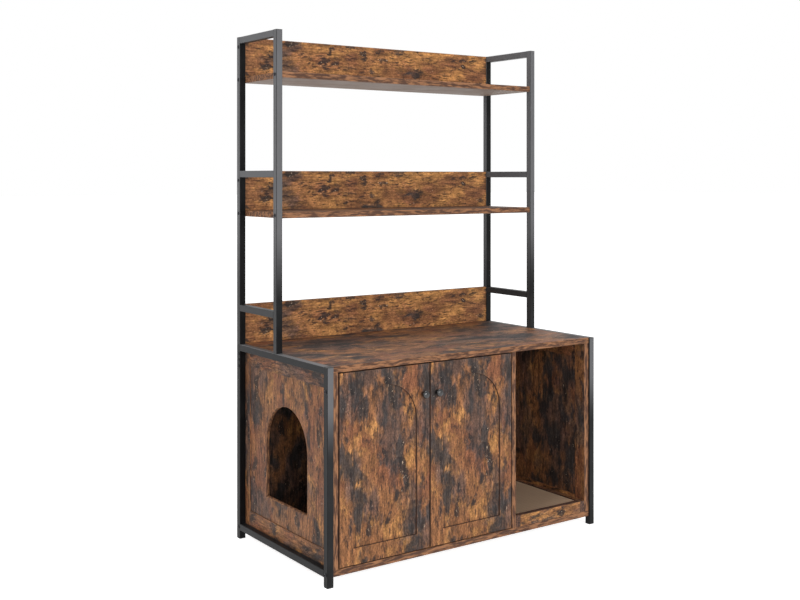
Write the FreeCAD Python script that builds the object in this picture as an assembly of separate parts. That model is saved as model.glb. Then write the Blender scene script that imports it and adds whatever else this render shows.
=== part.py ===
"""Cat litter box cabinet with an open hutch of two shelves above it.

Two welded side frames of square steel tube carry board panels.  The cabinet
has a litter compartment behind two inset doors, with an arched entrance in
its left side, and an open compartment with a scratching pad in a low tray.
Millimetres.  +X is right, -Y is the front and +Z is up.  The origin is on the
floor at the middle of the overall footprint, knobs and bolt heads included.
"""
import FreeCAD
import Part
import math
import os

from FreeCAD import Vector

# Overall sizes
width = 1000.0              # across the outer faces of the side frames
depth = 535.0               # front face to back face of the side frames
base_height = 597.0         # floor to the top of the cabinet
hutch_depth = 252.0         # front face to back face of the hutch posts
shelf_pitch = 411.0         # cabinet top to first shelf, first to second
guard_height = 122.0        # guard board above the board it stands on
ground_gap = 26.0           # floor to the underside of the bottom panel

# Square tube of the frames
tube = 20.0
tube_wall = 1.2
tube_bevel = 1.2            # across the rolled corners
cap_flange = 2.0            # visible rim of the plastic end plugs
plug_length = 14.0
plug_wall = 2.0
plug_clearance = 0.15

# Boards
board = 18.0                # top, bottom, shelves and side frames
thin_board = 15.0           # doors, divider and guard boards
back_board = 5.0
board_recess = 5.0          # boards behind the front faces of the legs
shelf_recess = 3.0          # shelves behind the front faces of the posts
guard_recess = 4.0          # guard boards behind the rear posts' fronts
board_ease = 1.0
past = 1.0                  # how far a cutter runs past a face
whole_edge = 0.9            # least share of a piece's length that a long edge has

# Side panels: stiles and rails round a thinner field
stile_width = 44.0
side_rail_width = 46.0
field_board = 12.0
tongue = 6.0
tongue_length = 8.0
groove_play = 0.2

# Cat entrance in the left field
entrance_width = 237.0
entrance_height = 284.0
entrance_sill = 114.0       # above the foot of the side panel
entrance_bevel = 2.5

# Back panels in grooves
back_inset = 10.0
back_groove = 5.0

# Doors
door_width = 306.0
door_gap = 3.0
door_margin = 46.0          # flat frame round the routed arch
arch_depth = 4.0
arch_bevel = 1.0

# Knobs
knob_length = 22.0
knob_cap_radius = 11.5
knob_neck_radius = 5.0
knob_foot_radius = 7.0
knob_foot = 2.5
knob_cap = 9.0
knob_sides = 20
knob_face_radius = 4.0      # flat middle of the crown
knob_slope = 3.0            # width of the shoulder
knob_crown = 4.0            # height of the shoulder's foot below the tip
knob_flat = 1.2             # height of the shoulder's top below the tip
knob_under = 2.0
knob_inset = 23.0           # from the meeting edge of the door
knob_drop = 86.0            # top edge of the door to the knob's axis

# Concealed hinges
hinge_from_end = 92.0
cup_sides = 16
cup_radius = 17.5
cup_edge = 3.0              # door edge to the cup
cup_depth = 12.5
cup_wall = 1.2
cup_floor = 0.8
cup_flange = 1.2
cup_rim = 0.7
cup_play = 0.05
ear_reach = 22.5
ear_offset = 9.5
ear_width = 11.0
pivot_inset = 9.0           # door edge to the pin
pivot_depth = 6.5           # door front to the pin
pin_radius = 1.5
pin_length = 22.0
pin_play = 0.05
pin_sides = 12
pin_press = 0.02
hub_radius = 2.8
arm_width = 12.0
arm_thickness = 2.0
neck_radius = 13.0          # inner radius of the arm's bend
neck_angle = 118.0
arm_reach = 36.0            # pin to the back end of the arm
cheek_gap = 0.4
cheek_half = 3.0
plate_start = 16.5
plate_length = 18.0
plate_width = 11.0
wing_thickness = 1.6
wing_span = 42.0
wing_width = 10.0
clamp_short = 0.5             # clamp screw's tip to the wall

# Magnetic catch
catch_length = 46.0
catch_depth = 15.0
catch_height = 19.0
catch_gap = 0.3
magnet_play = 0.1
magnet_length = 12.0
magnet_height = 8.0
magnet_depth = 5.0
magnet_proud = 1.0
magnet_inset = 9.0          # end of the strike plate to the magnet's middle
strike_length = 32.0
strike_height = 13.0
strike_thickness = 1.2
strike_inset = 3.0          # from the door's edges

# Tray of the scratching pad
tray_strip = 18.0
tray_height = 35.0
pad_thickness = 32.0
pad_gap = 1.0
pad_corner = 3.0

# Frame bolts and threaded inserts
bolt_radius = 2.5
bolt_head_radius = 5.5
bolt_head = 2.0
bolt_play = 0.3
insert_radius = 3.6
insert_length = 16.0
stile_insert = 12.0
insert_play = 0.05
tip_gap = 2.0               # a bolt's tip to the end of its thread
panel_bolt_drop = 49.0      # below the underside of the top panel
guard_bolt_drop = 30.0      # below the top of a guard board
spigot_bolt_drops = (30.0, 49.0)
spigot_down = 60.0
spigot_up = 45.0
foot_nut_length = 20.0

# Cam fittings, dowels and screws
cam_radius = 7.5
cam_depth = 12.5
cam_distance = 34.0
cam_from_edge = 24.0        # front or back edge of the board to the cam's axis
cam_bolt_radius = 3.5
cam_neck_radius = 2.6
cam_bolt_seat = 11.0
cam_head = 4.0
cam_bolt_lift = 1.0         # near side of the bolt's head to the cam's axis
cam_cavity = 3.9
cam_sides = 8
cam_play = 0.1
rod_sides = 6               # flats on small hidden rods and their holes
dowel_radius = 4.0
dowel_length = 30.0
dowel_offset = 18.0         # outer edge of a rail to its dowels
dowel_play = 0.05
dowel_gap = 1.0             # glue space at a dowel's ends, together
short_dowel = 24.0
short_seat = 9.0
screw_radius = 2.0
screw_head_radius = 3.8
screw_head = 2.0
long_screw = 36.0

# Derived places
knob_reach = knob_length - board_recess
front = (knob_reach - depth) / 2
back = front + depth
half = width / 2
inner = half - tube
wood_front = front + board_recess
wood_back = back - board_recess
post_front = back - hutch_depth
rear_post_front = back - tube
floor_under = ground_gap
floor_top = floor_under + board
top_under = base_height - board
side_face = inner - board
doors_left = -side_face
divider_left = doors_left + 2 * door_width + 3 * door_gap
divider_right = divider_left + thin_board
door_low = floor_top + door_gap
door_high = top_under - door_gap
door_back = wood_front + thin_board
shelf_tops = [base_height + shelf_pitch * level for level in (1, 2)]
guard_feet = [base_height] + shelf_tops
bar_tops = [foot + guard_height for foot in guard_feet]
height = bar_tops[-1]
shelf_front = post_front + shelf_recess
guard_front = rear_post_front + guard_recess
guard_back = guard_front + thin_board
front_leg_y = front + tube / 2
rear_leg_y = back - tube / 2
front_post_y = post_front + tube / 2
front_cam_y = wood_front + cam_from_edge
rear_cam_y = wood_back - cam_from_edge
back_panel_back = wood_back - back_inset
back_panel_front = back_panel_back - back_board
tray_top = floor_top + tray_height
tray_back = back_panel_front
tray_left = divider_right + tray_strip
tray_right = side_face - tray_strip
tray_front = wood_front + tray_strip
panel_bolt_z = top_under - panel_bolt_drop
floor_bolt_z = floor_under + board / 2
meeting_x = doors_left + 1.5 * door_gap + door_width
hinge_heights = (door_low + hinge_from_end, door_high - hinge_from_end)


# ---------------------------------------------------------------- helpers

def block(x0, x1, y0, y1, z0, z1):
    """A box between two corners."""
    corner = Vector(min(x0, x1), min(y0, y1), min(z0, z1))
    return Part.makeBox(abs(x1 - x0), abs(y1 - y0), abs(z1 - z0), corner)


def cylinder(start, direction, radius, length):
    """A cylinder from a start point along a direction."""
    return Part.makeCylinder(radius, length, Vector(*start), Vector(*direction))


def aimed(shape, place, direction):
    """A piece made along +X, turned to a direction and set at a place."""
    turn = FreeCAD.Rotation(Vector(1, 0, 0), Vector(*direction))
    copy = shape.copy()
    copy.Placement = FreeCAD.Placement(Vector(*place), turn)
    return copy


def flats(sides):
    """Angles of the corners of a regular polygon."""
    return [2 * math.pi * k / sides for k in range(sides)]


def plane_face(corners):
    """A flat face between corners."""
    return Part.Face(Part.makePolygon(corners + corners[:1]))


def rod(start, direction, radius, length, sides=rod_sides):
    """A straight rod with flats, for small round pieces and the holes they fit."""
    section = plane_face([Vector(0, radius * math.cos(turn), radius * math.sin(turn))
                          for turn in flats(sides)])
    return aimed(section.extrude(Vector(length, 0, 0)), start, direction)


def fuse(shapes):
    """One solid from touching or overlapping solids."""
    return shapes[0].multiFuse(shapes[1:]).removeSplitter()


def mirrored(shape):
    """The same piece on the other side of the middle plane."""
    return shape.mirror(Vector(0, 0, 0), Vector(1, 0, 0))


def long_edges(shape, axis, low):
    """Straight edges along an axis, at least as long as a given length."""
    chosen = []
    for edge in shape.Edges:
        if edge.Length < low or not isinstance(edge.Curve, Part.Line):
            continue
        direction = edge.Curve.Direction
        if abs(getattr(direction, axis)) > 0.999:
            chosen.append(edge)
    return chosen


def eased(shape, axis, size=board_ease):
    """A board with the long edges along one axis eased off."""
    low = whole_edge * getattr(shape.BoundBox, axis.upper() + "Length")
    return shape.makeChamfer(size, long_edges(shape, axis, low))


def arch_wire(middle, foot, arch_width, arch_height, plane, level):
    """An arch outline: straight sides, a flat foot and a half-round top.

    The outline stands in the XZ plane at y = level, or in the YZ plane at
    x = level.
    """
    radius = arch_width / 2
    spring = foot + arch_height - radius

    def point(across, up):
        if plane == "xz":
            return Vector(across, level, up)
        return Vector(level, across, up)

    low_a = point(middle - radius, foot)
    low_b = point(middle + radius, foot)
    high_a = point(middle - radius, spring)
    high_b = point(middle + radius, spring)
    crown = point(middle, spring + radius)
    edges = [Part.LineSegment(low_a, low_b).toShape(),
             Part.LineSegment(low_b, high_b).toShape(),
             Part.Arc(high_b, crown, high_a).toShape(),
             Part.LineSegment(high_a, low_a).toShape()]
    return Part.Wire(edges)


def beveled_arch(middle, foot, arch_width, arch_height, plane, level, inward, bevel):
    """A bevel cutter: the arch grown by the bevel at the face, its own size inside."""
    outer = arch_wire(middle, foot - bevel, arch_width + 2 * bevel,
                      arch_height + 2 * bevel, plane, level)
    inside = arch_wire(middle, foot, arch_width, arch_height, plane,
                       level + inward * bevel)
    return Part.makeLoft([outer, inside], True, True)


# ------------------------------------------------------------ steel frames

def tube_run(axis, start, length):
    """A square tube with bevelled corners along +y or +z, hollow right through."""
    half_tube = tube / 2
    outer = Part.makeBox(tube, tube, length, Vector(-half_tube, -half_tube, 0))
    outer = outer.makeChamfer(tube_bevel, long_edges(outer, "z", whole_edge * length))
    bore = tube - 2 * tube_wall
    run = outer.cut(Part.makeBox(bore, bore, length, Vector(-bore / 2, -bore / 2, 0)))
    if axis == "y":
        run.rotate(Vector(0, 0, 0), Vector(1, 0, 0), -90)
    run.translate(Vector(*start))
    return run


def bolt_holes(stations):
    """Cutters for bolts that cross the left side frame at the given (y, z)."""
    return [rod((-half - past, y, z), (1, 0, 0), bolt_radius + bolt_play, tube + 2 * past)
            for y, z in stations]


def panel_bolt_stations():
    """Where bolts join the legs to the side panels and the bottom panel."""
    return [(y, z) for y in (front_leg_y, rear_leg_y)
            for z in (panel_bolt_z, floor_bolt_z)]


def spigot_bolt_stations():
    """Where bolts join the rear leg to the spigot of the rear post."""
    return [(rear_leg_y, base_height - drop) for drop in spigot_bolt_drops]


def shelf_bolt_stations():
    """Where bolts join the posts to the ends of the shelves."""
    return [(y, top - board / 2) for top in shelf_tops
            for y in (front_post_y, rear_leg_y)]


def guard_bolt_stations():
    """Where bolts join the rear posts to the two upper guard boards."""
    return [(rear_leg_y, top - guard_bolt_drop) for top in bar_tops[1:]]


def base_frame():
    """Left side frame of the cabinet: two legs and two rails."""
    x = -half + tube / 2
    rail_length = depth - 2 * tube
    rail_start = front + tube
    front_leg = tube_run("z", (x, front_leg_y, cap_flange), base_height - 2 * cap_flange)
    rear_leg = tube_run("z", (x, rear_leg_y, cap_flange), base_height - cap_flange)
    top_rail = tube_run("y", (x, rail_start, base_height - tube / 2), rail_length)
    low_rail = tube_run("y", (x, rail_start, ground_gap + tube / 2), rail_length)
    holes = bolt_holes(panel_bolt_stations() + spigot_bolt_stations())
    foot_hole = rod((x, front_post_y, base_height - tube - past), (0, 0, 1),
                    bolt_radius + bolt_play, tube + 2 * past)
    legs = [leg.cut(holes) for leg in (front_leg, rear_leg)]
    return legs + [top_rail.cut(foot_hole), low_rail]


def hutch_frame():
    """Left side frame of the hutch: two posts and three bars."""
    x = -half + tube / 2
    post_length = height - base_height - cap_flange
    bar_length = hutch_depth - 2 * tube
    holes = bolt_holes(shelf_bolt_stations() + guard_bolt_stations())
    posts = [tube_run("z", (x, y, base_height), post_length).cut(holes)
             for y in (front_post_y, rear_leg_y)]
    bars = [tube_run("y", (x, post_front + tube, top - tube / 2), bar_length)
            for top in bar_tops]
    return posts + bars


def end_plug(x, y, rim_z, upward):
    """A moulded plug: a square rim over the tube end and a hollow boss inside."""
    sign = 1 if upward else -1
    boss = tube - 2 * tube_wall - 2 * plug_clearance
    core = boss - 2 * plug_wall
    rim = block(x - tube / 2, x + tube / 2, y - tube / 2, y + tube / 2,
                rim_z, rim_z + sign * cap_flange)
    rim = eased(rim, "z", tube_bevel)
    inside = -sign * plug_length
    body = block(x - boss / 2, x + boss / 2, y - boss / 2, y + boss / 2,
                 rim_z, rim_z + inside)
    hollow = block(x - core / 2, x + core / 2, y - core / 2, y + core / 2,
                   rim_z, rim_z + inside)
    return rim.fuse(body.cut(hollow)).removeSplitter()


def foot_plugs():
    """Plugs in the lower ends of the four legs: the cabinet stands on them."""
    x = -half + tube / 2
    left = [end_plug(x, y, cap_flange, False) for y in (front_leg_y, rear_leg_y)]
    return left + [mirrored(plug) for plug in left]


def post_caps():
    """Plugs in the tops of the front legs and of the four hutch posts."""
    x = -half + tube / 2
    left = [end_plug(x, front_leg_y, base_height - cap_flange, True),
            end_plug(x, front_post_y, height - cap_flange, True),
            end_plug(x, rear_leg_y, height - cap_flange, True)]
    return left + [mirrored(cap) for cap in left]


def spigot():
    """Square steel spigot fixed in the rear post, which slides into the rear leg."""
    size = tube - 2 * tube_wall - 2 * plug_clearance
    x = -half + tube / 2
    bar = block(x - size / 2, x + size / 2, rear_leg_y - size / 2, rear_leg_y + size / 2,
                base_height - spigot_down, base_height + spigot_up)
    bar = eased(bar, "z")
    return bar.cut([rod((x - tube, y, z), (1, 0, 0), bolt_radius + insert_play, 2 * tube)
                    for y, z in spigot_bolt_stations()])


def foot_nut():
    """Threaded plug in the foot of the front post, for the bolt through the rail."""
    size = tube - 2 * tube_wall - 2 * plug_clearance
    x = -half + tube / 2
    plug = block(x - size / 2, x + size / 2, front_post_y - size / 2,
                 front_post_y + size / 2, base_height, base_height + foot_nut_length)
    bore = rod((x, front_post_y, base_height - past), (0, 0, 1),
               bolt_radius + insert_play, foot_nut_length + 2 * past)
    return plug.cut(bore)


# ------------------------------------------------------------------ bolts

def fastener(head_radius, head, shank_radius, shank):
    """A fastener along +X whose low head ends at x = 0."""
    top = rod((-head, 0, 0), (1, 0, 0), head_radius, head)
    return top.fuse(rod((-head / 2, 0, 0), (1, 0, 0), shank_radius, shank + head / 2))


def frame_bolt(shank):
    """A low-headed frame bolt."""
    return fastener(bolt_head_radius, bolt_head, bolt_radius, shank)


def wood_screw(shank):
    """A small pan-headed screw."""
    return fastener(screw_head_radius, screw_head, screw_radius, shank)


def bolts_both_sides(stations, grip):
    """Frame bolts from the outer faces of both side frames."""
    bolt = frame_bolt(tube + grip)
    left = [aimed(bolt, (-half, y, z), (1, 0, 0)) for y, z in stations]
    return left + [mirrored(item) for item in left]


def board_bolts():
    """Bolts from the frames into the inserts of the boards, all of one length."""
    stations = panel_bolt_stations() + shelf_bolt_stations() + guard_bolt_stations()
    return bolts_both_sides(stations, stile_insert - tip_gap)


def spigot_bolts():
    """Short bolts that end inside the spigots."""
    return bolts_both_sides(spigot_bolt_stations(), -2 * tube_wall)


def foot_bolts():
    """Bolts up through the top rails into the feet of the front posts."""
    bolt = frame_bolt(tube + foot_nut_length - 2 * tip_gap)
    left = aimed(bolt, (-half + tube / 2, front_post_y, base_height - tube), (0, 0, 1))
    return [left, mirrored(left)]


def insert_bore(y, z, length):
    """The hole for a threaded insert in the left end of a board."""
    return rod((-inner - past, y, z), (1, 0, 0), insert_radius + insert_play, length + past)


def insert_bores(stations, length):
    """Holes for threaded inserts in both ends of a board."""
    left = [insert_bore(y, z, length) for y, z in stations]
    return left + [mirrored(bore) for bore in left]


def threaded_inserts():
    """Brass-coloured threaded bushes in the ends and faces of the boards."""
    def bush(y, z, length):
        outside = rod((-inner, y, z), (1, 0, 0), insert_radius, length)
        bore = rod((-inner - past, y, z), (1, 0, 0), bolt_radius + insert_play,
                   length + 2 * past)
        return outside.cut(bore)

    left = [bush(y, z, stile_insert if z == panel_bolt_z else insert_length)
            for y, z in panel_bolt_stations()]
    left += [bush(y, z, insert_length)
             for y, z in shelf_bolt_stations() + guard_bolt_stations()]
    return left + [mirrored(item) for item in left]


# ---------------------------------------------------- cams, dowels, screws

def cam_stations():
    """Cams that hold the top panel: (x of the face, inward sign, y)."""
    return [(face, sign, y)
            for face, sign in ((-side_face, -1), (side_face, 1), (divider_left, 1))
            for y in (front_cam_y, rear_cam_y)]


def board_middle(face, sign):
    """x of the middle of the board that a cam sits in."""
    thickness = thin_board if face == divider_left else board
    return face + sign * thickness / 2


def cam_pockets(face, sign, y):
    """Pocket for the cam and hole for its bolt, in a side panel or the divider."""
    z = top_under - cam_distance
    pocket = rod((face, y, z), (sign, 0, 0), cam_radius + cam_play, cam_depth + cam_play,
                 cam_sides)
    hole = rod((board_middle(face, sign), y, z), (0, 0, 1), cam_bolt_radius + cam_play,
               cam_distance + past)
    return [pocket, hole]


def cam_locks():
    """Die-cast cams: short drums, each with a cavity for the head of its bolt."""
    cams = []
    z = top_under - cam_distance
    for face, sign, y in cam_stations():
        drum = rod((face, y, z), (sign, 0, 0), cam_radius, cam_depth, cam_sides)
        cavity = rod((board_middle(face, sign), y, z - cam_head), (0, 0, 1),
                     cam_cavity, cam_radius + cam_head + past)
        cams.append(drum.cut(cavity))
    return cams


def cam_bolts():
    """Headed bolts that stand in the top panel and enter the cams."""
    stem = cam_bolt_seat + cam_distance - cam_bolt_lift
    pattern = rod((0, 0, 0), (1, 0, 0), cam_neck_radius, stem + cam_head / 2)
    pattern = pattern.fuse(rod((stem, 0, 0), (1, 0, 0), cam_bolt_radius, cam_head))
    return [aimed(pattern, (board_middle(face, sign), y, top_under + cam_bolt_seat),
                  (0, 0, -1)) for face, sign, y in cam_stations()]


def cam_seats():
    """Holes for the cam bolts in the top panel."""
    return [rod((board_middle(face, sign), y, top_under), (0, 0, 1),
                cam_neck_radius + dowel_play, cam_bolt_seat + cam_play)
            for face, sign, y in cam_stations()]


def rail_dowel_places():
    """Centres (y, z) of the dowels between the left stiles and rails."""
    return [(y, z) for y in (wood_front + stile_width, wood_back - stile_width)
            for z in (floor_top + dowel_offset, top_under - dowel_offset)]


def rail_dowel(y, z, radius, length):
    """One dowel or its hole, centred on a stile and rail joint of the left side."""
    x = -inner + board / 2
    return rod((x, y - length / 2, z), (0, 1, 0), radius, length)


def rail_dowel_holes():
    """Holes for the stile and rail dowels of the left side."""
    return [rail_dowel(y, z, dowel_radius + dowel_play,
                       dowel_length + dowel_gap)
            for y, z in rail_dowel_places()]


def guard_dowel_places():
    """(x, y, z of the joint) of the upright dowels under the guard boards."""
    y = guard_front + thin_board / 2
    return [(x, y, foot) for foot in guard_feet for x in (-inner / 2, inner / 2)]


def foot_dowel_places():
    """(x, y, z of the joint) of the dowels under the side panels and the divider."""
    return [(board_middle(face, sign), y, floor_top) for face, sign, y in cam_stations()]


def upright_dowel(x, y, joint, radius, length, seat):
    """A dowel across a horizontal joint, its lower seat deep in the lower board."""
    return rod((x, y, joint - seat), (0, 0, 1), radius, length)


def upright_dowel_holes(places):
    """Holes for upright dowels."""
    return [upright_dowel(x, y, joint, dowel_radius + dowel_play,
                          short_dowel + dowel_gap, short_seat + dowel_gap / 2)
            for x, y, joint in places]


def dowels():
    """All the beech dowels."""
    left = [rail_dowel(y, z, dowel_radius, dowel_length) for y, z in rail_dowel_places()]
    upright = [upright_dowel(x, y, joint, dowel_radius, short_dowel, short_seat)
               for x, y, joint in guard_dowel_places() + foot_dowel_places()]
    return left + [mirrored(item) for item in left] + upright


# ------------------------------------------------------------- wood boards

def top_panel():
    """Top of the cabinet between the side frames."""
    board_shape = block(-inner, inner, wood_front, wood_back, top_under, base_height)
    board_shape = eased(board_shape, "x")
    groove = back_groove_cutter(doors_left, side_face)
    holes = cam_seats() + upright_dowel_holes(guard_dowel_places())
    return board_shape.cut([groove] + holes)


def bottom_panel():
    """Floor of the cabinet between the side frames."""
    board_shape = block(-inner, inner, wood_front, wood_back, floor_under, floor_top)
    board_shape = eased(board_shape, "x")
    low = [s for s in panel_bolt_stations() if s[1] == floor_bolt_z]
    cuts = [back_groove_cutter(doors_left, side_face)]
    cuts += upright_dowel_holes(foot_dowel_places())
    cuts += insert_bores(low, insert_length)
    cuts += [tray_screw_hole(x, y) for x, y in tray_screw_places()]
    return board_shape.cut(cuts)


def back_groove_cutter(x0, x1):
    """The groove that holds a back panel: it reaches past the opening all round."""
    return block(x0 - back_groove, x1 + back_groove,
                 back_panel_front - groove_play, back_panel_back + groove_play,
                 floor_top - back_groove, top_under + back_groove)


def back_panel(x0, x1):
    """A thin back panel, its edges in the grooves."""
    grip = back_groove - groove_play
    return block(x0 - grip, x1 + grip, back_panel_front, back_panel_back,
                 floor_top - grip, top_under + grip)


def side_groove_cutter():
    """Groove for the field of the left side, all round inside stiles and rails."""
    x = -inner + board / 2
    deep = tongue_length + groove_play
    return block(x - tongue / 2 - groove_play, x + tongue / 2 + groove_play,
                 wood_front + stile_width - deep, wood_back - stile_width + deep,
                 floor_top + side_rail_width - deep, top_under - side_rail_width + deep)


def left_stile(at_front):
    """A stile of the left side, full height."""
    if at_front:
        y0, y1, y = wood_front, wood_front + stile_width, front_cam_y
    else:
        y0, y1, y = wood_back - stile_width, wood_back, rear_cam_y
    stile = block(-inner, -side_face, y0, y1, floor_top, top_under)
    stile = eased(stile, "z")
    cuts = [side_groove_cutter()] + rail_dowel_holes()
    cuts += [insert_bore(s[0], s[1], stile_insert) for s in panel_bolt_stations()
             if s[1] == panel_bolt_z]
    cuts += cam_pockets(-side_face, -1, y)
    cuts += upright_dowel_holes([(-inner + board / 2, y, floor_top)])
    if not at_front:
        cuts.append(back_groove_cutter(doors_left, side_face))
    return stile.cut(cuts)


def left_rail(at_top):
    """A rail of the left side, between the stiles."""
    low = top_under - side_rail_width if at_top else floor_top
    rail = block(-inner, -side_face, wood_front + stile_width, wood_back - stile_width,
                 low, low + side_rail_width)
    return rail.cut([side_groove_cutter()] + rail_dowel_holes())


def plain_field():
    """Field of the left side: a thinner board with a tongue all round."""
    x = -inner + board / 2
    y0 = wood_front + stile_width
    y1 = wood_back - stile_width
    z0 = floor_top + side_rail_width
    z1 = top_under - side_rail_width
    body = block(x - field_board / 2, x + field_board / 2, y0, y1, z0, z1)
    thin = block(x - tongue / 2, x + tongue / 2, y0 - tongue_length, y1 + tongue_length,
                 z0 - tongue_length, z1 + tongue_length)
    return body.fuse(thin).removeSplitter()


def entrance_field():
    """The left field with the arched cat entrance, its edges bevelled."""
    x = -inner + board / 2
    middle = (wood_front + wood_back) / 2
    foot = floor_top + entrance_sill
    outer = x - field_board / 2
    size = (middle, foot, entrance_width, entrance_height, "yz")
    wire = arch_wire(*size, outer - past)
    hole = Part.Face(wire).extrude(Vector(field_board + 2 * past, 0, 0))
    bevels = [beveled_arch(*size, outer, 1, entrance_bevel),
              beveled_arch(*size, outer + field_board, -1, entrance_bevel)]
    return plain_field().cut([hole] + bevels)


def divider():
    """Upright board between the two compartments."""
    wall = block(divider_left, divider_right, wood_front, wood_back, floor_top, top_under)
    wall = eased(wall, "z")
    cuts = [back_groove_cutter(doors_left, divider_left),
            back_groove_cutter(divider_right, side_face)]
    for y in (front_cam_y, rear_cam_y):
        cuts += cam_pockets(divider_left, 1, y)
    cuts += upright_dowel_holes(foot_dowel_places())
    return wall.cut(cuts)


def shelf(level):
    """A shelf between the posts; level 0 is the lower one."""
    top = shelf_tops[level]
    plank = block(-inner, inner, shelf_front, guard_back, top - board, top)
    plank = eased(plank, "x")
    stations = [s for s in shelf_bolt_stations() if s[1] == top - board / 2]
    holes = upright_dowel_holes(guard_dowel_places())
    return plank.cut(insert_bores(stations, insert_length) + holes)


def guard_board(level):
    """A guard board between the rear posts; level 0 stands on the cabinet."""
    foot = guard_feet[level]
    plank = block(-inner, inner, guard_front, guard_back, foot, foot + guard_height)
    plank = eased(plank, "x")
    stations = [s for s in guard_bolt_stations() if foot < s[1] < foot + guard_height]
    holes = upright_dowel_holes(guard_dowel_places())
    return plank.cut(insert_bores(stations, insert_length) + holes)


# ------------------------------------------------------------------- tray

def tray_screw_places():
    """(x, y) of the screws up through the bottom panel, one in each tray strip."""
    middle_x = (tray_left + tray_right) / 2
    middle_y = (wood_front + tray_back) / 2
    return [(divider_right + tray_strip / 2, middle_y), (side_face - tray_strip / 2, middle_y),
            (middle_x, wood_front + tray_strip / 2), (middle_x, tray_back - tray_strip / 2)]


def tray_screw_hole(x, y):
    """Hole of a tray screw through the bottom panel and into the strip."""
    return rod((x, y, floor_under - past), (0, 0, 1), screw_radius + dowel_play,
               long_screw + past)


def tray_screws():
    """Screws from below into the tray strips, their heads under the bottom panel."""
    return [aimed(wood_screw(long_screw - screw_head), (x, y, floor_under), (0, 0, 1))
            for x, y in tray_screw_places()]


def tray_strip_solid(x0, x1, y0, y1, axis):
    """A strip of the tray frame with its screw holes."""
    strip = eased(block(x0, x1, y0, y1, floor_top, tray_top), axis)
    return strip.cut([tray_screw_hole(x, y) for x, y in tray_screw_places()])


def scratch_pad():
    """Corrugated cardboard scratching pad that lies in the tray."""
    pad = block(tray_left + pad_gap, tray_right - pad_gap, tray_front + pad_gap,
                tray_back - tray_strip - pad_gap, floor_top, floor_top + pad_thickness)
    return eased(pad, "z", pad_corner)


# ------------------------------------------------------------------ doors

def hinge_pivot():
    """(x, y) of the left door's hinge pin."""
    return doors_left + door_gap + pivot_inset, wood_front + pivot_depth


def at_hinges(shape):
    """Copies of a piece modelled round the pin, at both hinges of the left door."""
    x, y = hinge_pivot()
    copies = []
    for z in hinge_heights:
        copy = shape.copy()
        copy.translate(Vector(x, y, z))
        copies.append(copy)
    return copies


def cup_centre():
    """Distance from the pin to the middle of the cup."""
    return cup_edge + cup_radius - pivot_inset


def hinge_cup():
    """Cup round the pin: a bowl with two cheeks, a rim, and ears with their screws."""
    face = thin_board - pivot_depth
    floor = face - cup_depth
    middle = cup_centre()
    outside = rod((middle, floor, 0), (0, 1, 0), cup_radius, cup_depth, cup_sides)
    rim = rod((middle, face, 0), (0, 1, 0), cup_radius + cup_rim, cup_flange, cup_sides)
    ear = middle + ear_offset
    reach = ear_reach + ear_width / 2
    ears = block(ear - ear_width / 2, ear + ear_width / 2, face, face + cup_flange,
                 -reach, reach)
    ears = eased(ears, "y", ear_width / 4)
    bowl = rod((middle, floor + cup_floor, 0), (0, 1, 0), cup_radius - cup_wall,
               cup_depth + cup_flange, cup_sides)
    shell = fuse([outside, rim, ears]).cut(bowl)
    cheeks = []
    for sign in (-1, 1):
        near = sign * (arm_width / 2 + cheek_gap)
        cheek = block(-cheek_half, cheek_half, floor, cheek_half, near, sign * cup_radius)
        cheeks.append(cheek.common(outside))
    return fuse([shell] + cheeks).cut(hinge_pin(pin_press))


def hinge_pin(play=0.0):
    """Steel pin across the cup."""
    return rod((0, 0, -pin_length / 2), (0, 0, 1), pin_radius + play, pin_length, pin_sides)


def hinge_arm():
    """Gooseneck arm: a hub on the pin, a bend round the door's edge, a flat end."""
    low = -arm_width / 2
    hub = rod((0, 0, low), (0, 0, 1), hub_radius, arm_width, cam_sides)
    web = block(0, neck_radius + arm_thickness / 2, -arm_thickness / 2, arm_thickness / 2,
                low, low + arm_width)
    outer_radius = neck_radius + arm_thickness
    wedge = Part.makeCylinder(outer_radius, arm_width, Vector(0, 0, low), Vector(0, 0, 1),
                              neck_angle)
    neck = wedge.cut(cylinder((0, 0, low - past), (0, 0, 1), neck_radius,
                              arm_width + 2 * past))
    turn = math.radians(neck_angle)
    strip_face = neck_radius * math.cos(turn)
    strip_start = neck_radius * math.sin(turn) + arm_thickness / 2
    strip = block(strip_face - arm_thickness, strip_face, strip_start, arm_reach,
                  low, low + arm_width)
    arm = fuse([hub, web, neck, strip])
    bore = cylinder((0, 0, low - past), (0, 0, 1), pin_radius + pin_play,
                    arm_width + 2 * past)
    return arm.cut([bore, clamp_screw()])


def arm_underside():
    """x of the arm's outer face, which lies on the mounting plate."""
    return neck_radius * math.cos(math.radians(neck_angle)) - arm_thickness


def wall_face():
    """x of the board that carries the hinge, seen from the pin."""
    return -door_gap - pivot_inset


def hinge_plate():
    """Mounting plate: a block under the arm and two wings, with the arm's screw."""
    middle = plate_start + plate_length / 2
    body = block(wall_face(), arm_underside(), plate_start, plate_start + plate_length,
                 -plate_width / 2, plate_width / 2)
    reach = wing_span / 2
    wing = block(wall_face(), wall_face() + wing_thickness, middle - wing_width / 2,
                 middle + wing_width / 2, -reach, reach)
    return fuse([body, eased(wing, "x", wing_width / 4), clamp_screw()])


def clamp_screw():
    """Screw that clamps the arm on the mounting plate."""
    arm_face = arm_underside() + arm_thickness
    place = (arm_face, plate_start + plate_length / 2, 0)
    return aimed(wood_screw(arm_face - wall_face() - clamp_short), place, (-1, 0, 0))


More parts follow.
